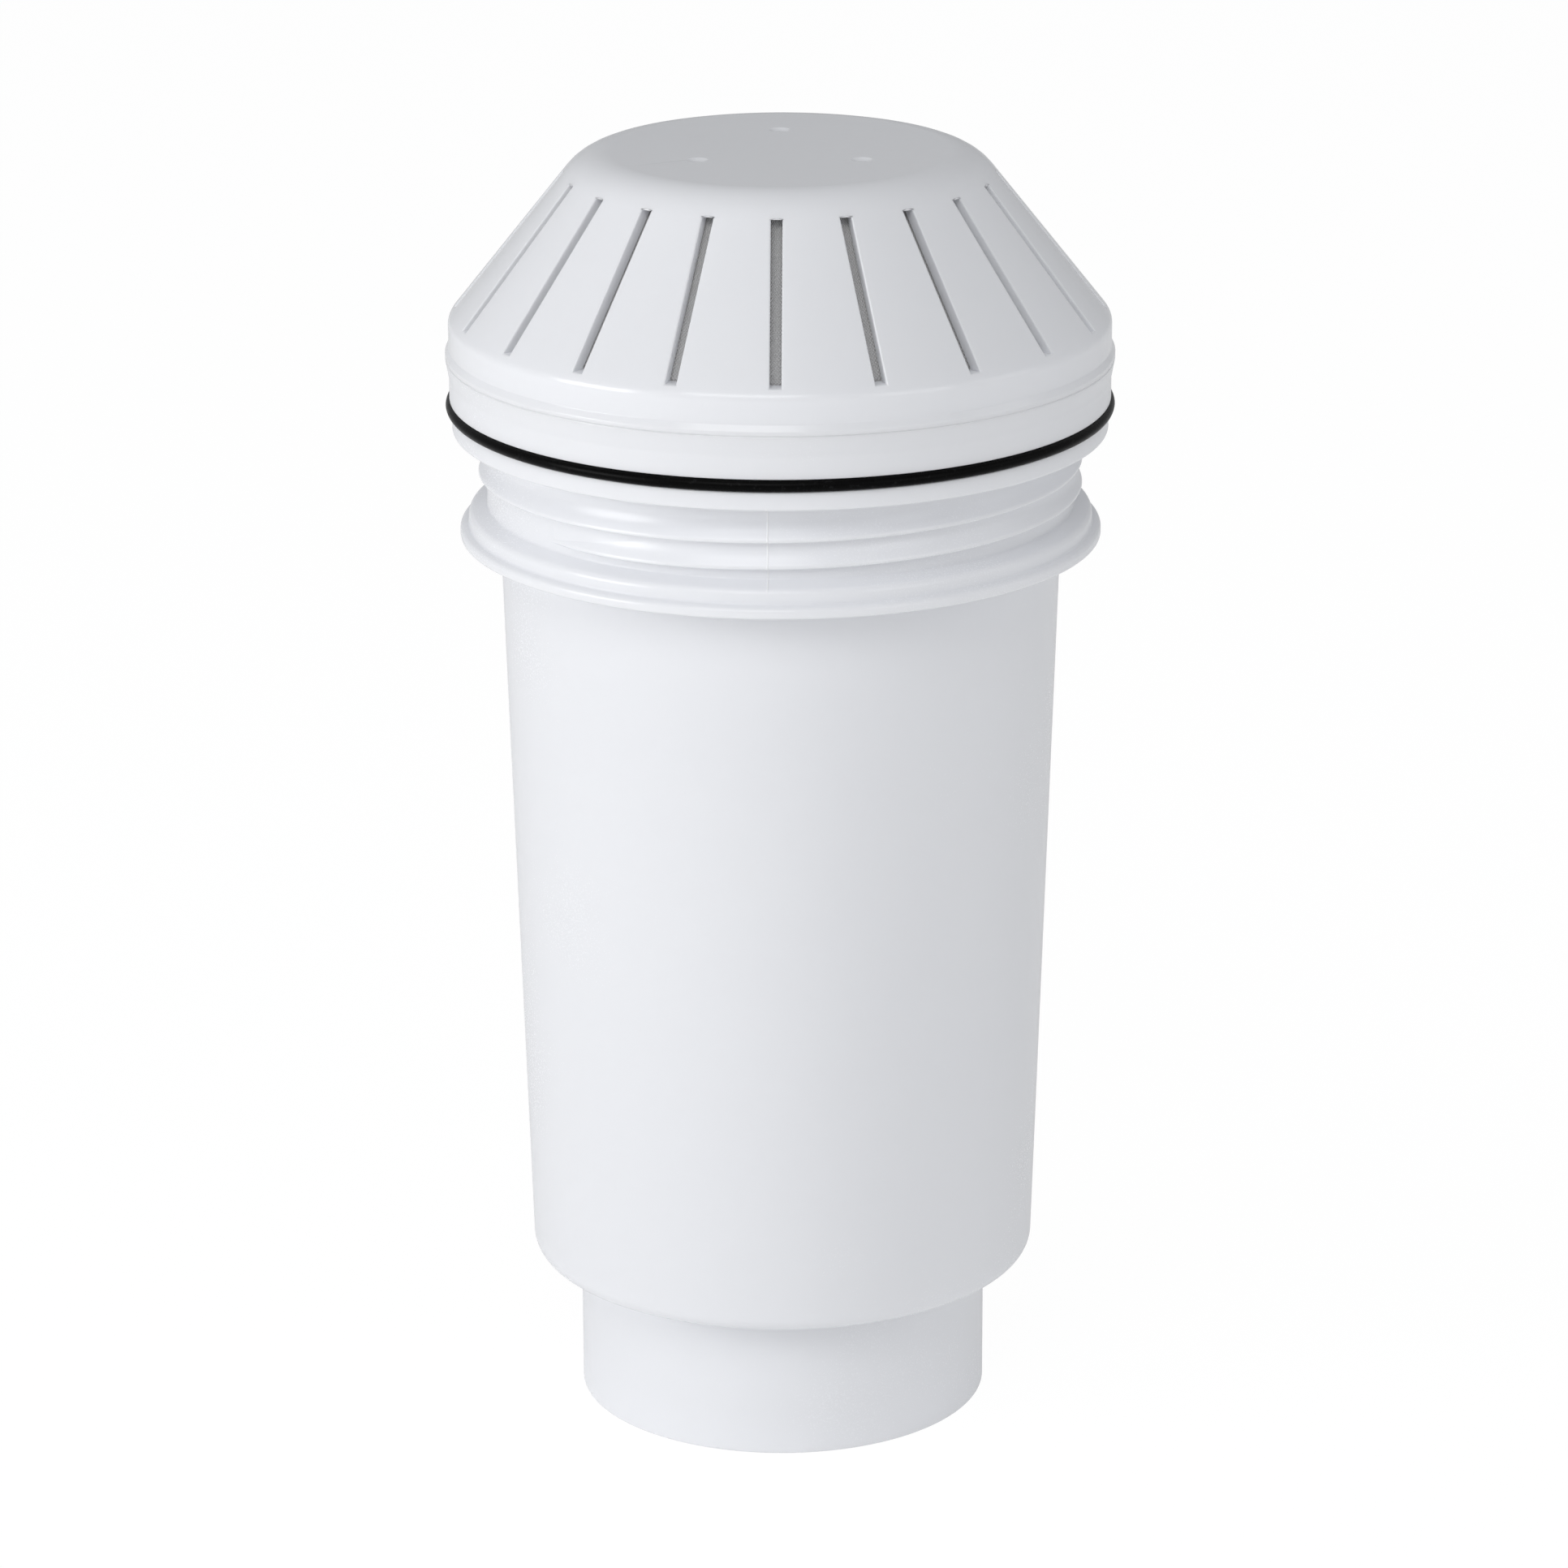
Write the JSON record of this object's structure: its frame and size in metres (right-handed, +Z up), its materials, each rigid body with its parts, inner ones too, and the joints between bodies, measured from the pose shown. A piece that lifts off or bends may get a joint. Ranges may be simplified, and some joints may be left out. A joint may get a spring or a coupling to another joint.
{
  "type": "water pitcher filter cartridge",
  "caption": "Tall tapered screw-in water filter cartridge with a slotted conical strainer cap, sealing ring, threaded neck, flange and outlet spigot",
  "frame": {"origin": "centre of the outlet spigot's rim, on the surface that the cartridge stands on", "axes": "+Z up along the axis of the cartridge to the strainer cap, -Y towards the slot that faces the viewer"},
  "size_m": [0.086, 0.086, 0.1688],
  "materials": {
    "housing_plastic": "smooth moulded polypropylene, soft sheen",
    "cap_plastic": "smooth moulded polypropylene, soft sheen",
    "seal_rubber": "black rubber, faint sheen",
    "frame_plastic": "plain moulded plastic",
    "mesh_nylon": "woven nylon",
    "foam": "open cell foam",
    "felt": "non-woven felt",
    "carbon_granules": "coarse black granules",
    "resin_beads": "fine amber beads"
  },
  "bodies": {
    "root": {"housing": "housing_plastic", "strainer_cap": "cap_plastic", "o_ring": "seal_rubber", "screen_frame": "frame_plastic", "inlet_mesh": "mesh_nylon", "foam_distributor": "foam", "upper_felt": "felt", "carbon_bed": "carbon_granules", "middle_felt": "felt", "resin_bed": "resin_beads", "lower_felt": "felt", "outlet_mesh": "mesh_nylon"}
  },
  "joints": []
}
